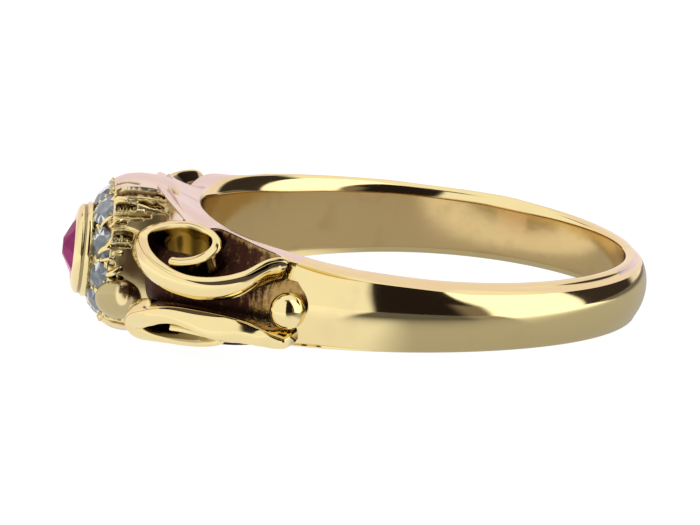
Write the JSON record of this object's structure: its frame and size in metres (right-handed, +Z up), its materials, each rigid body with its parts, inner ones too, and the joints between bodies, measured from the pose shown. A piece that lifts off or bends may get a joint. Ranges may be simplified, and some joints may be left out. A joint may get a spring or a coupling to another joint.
{
  "type": "gemstone ring",
  "caption": "Yellow gold finger ring lying on its side, with a collet-set ruby in an oval cluster of small diamonds, scrolled shoulders and a plain polished band.",
  "frame": {"origin": "centre of the bounding box at its lowest face, where the ring lies on the surface", "axes": "+X runs from the head with the stones, at -X, to the back of the band; +Y across the ring; +Z up, close to the finger hole's axis, which leans 5.1 degrees towards +X"},
  "size_m": [0.0234, 0.02, 0.0062],
  "materials": {
    "gold": "polished, with dark recesses",
    "ruby": "cut and polished",
    "diamond": "cut and polished"
  },
  "bodies": {
    "root": {"gold_mount": "gold", "ruby": "ruby", "diamond_01": "diamond", "diamond_02": "diamond", "diamond_03": "diamond", "diamond_04": "diamond", "diamond_05": "diamond", "diamond_06": "diamond", "diamond_07": "diamond", "diamond_08": "diamond", "diamond_09": "diamond", "diamond_10": "diamond"}
  },
  "joints": []
}
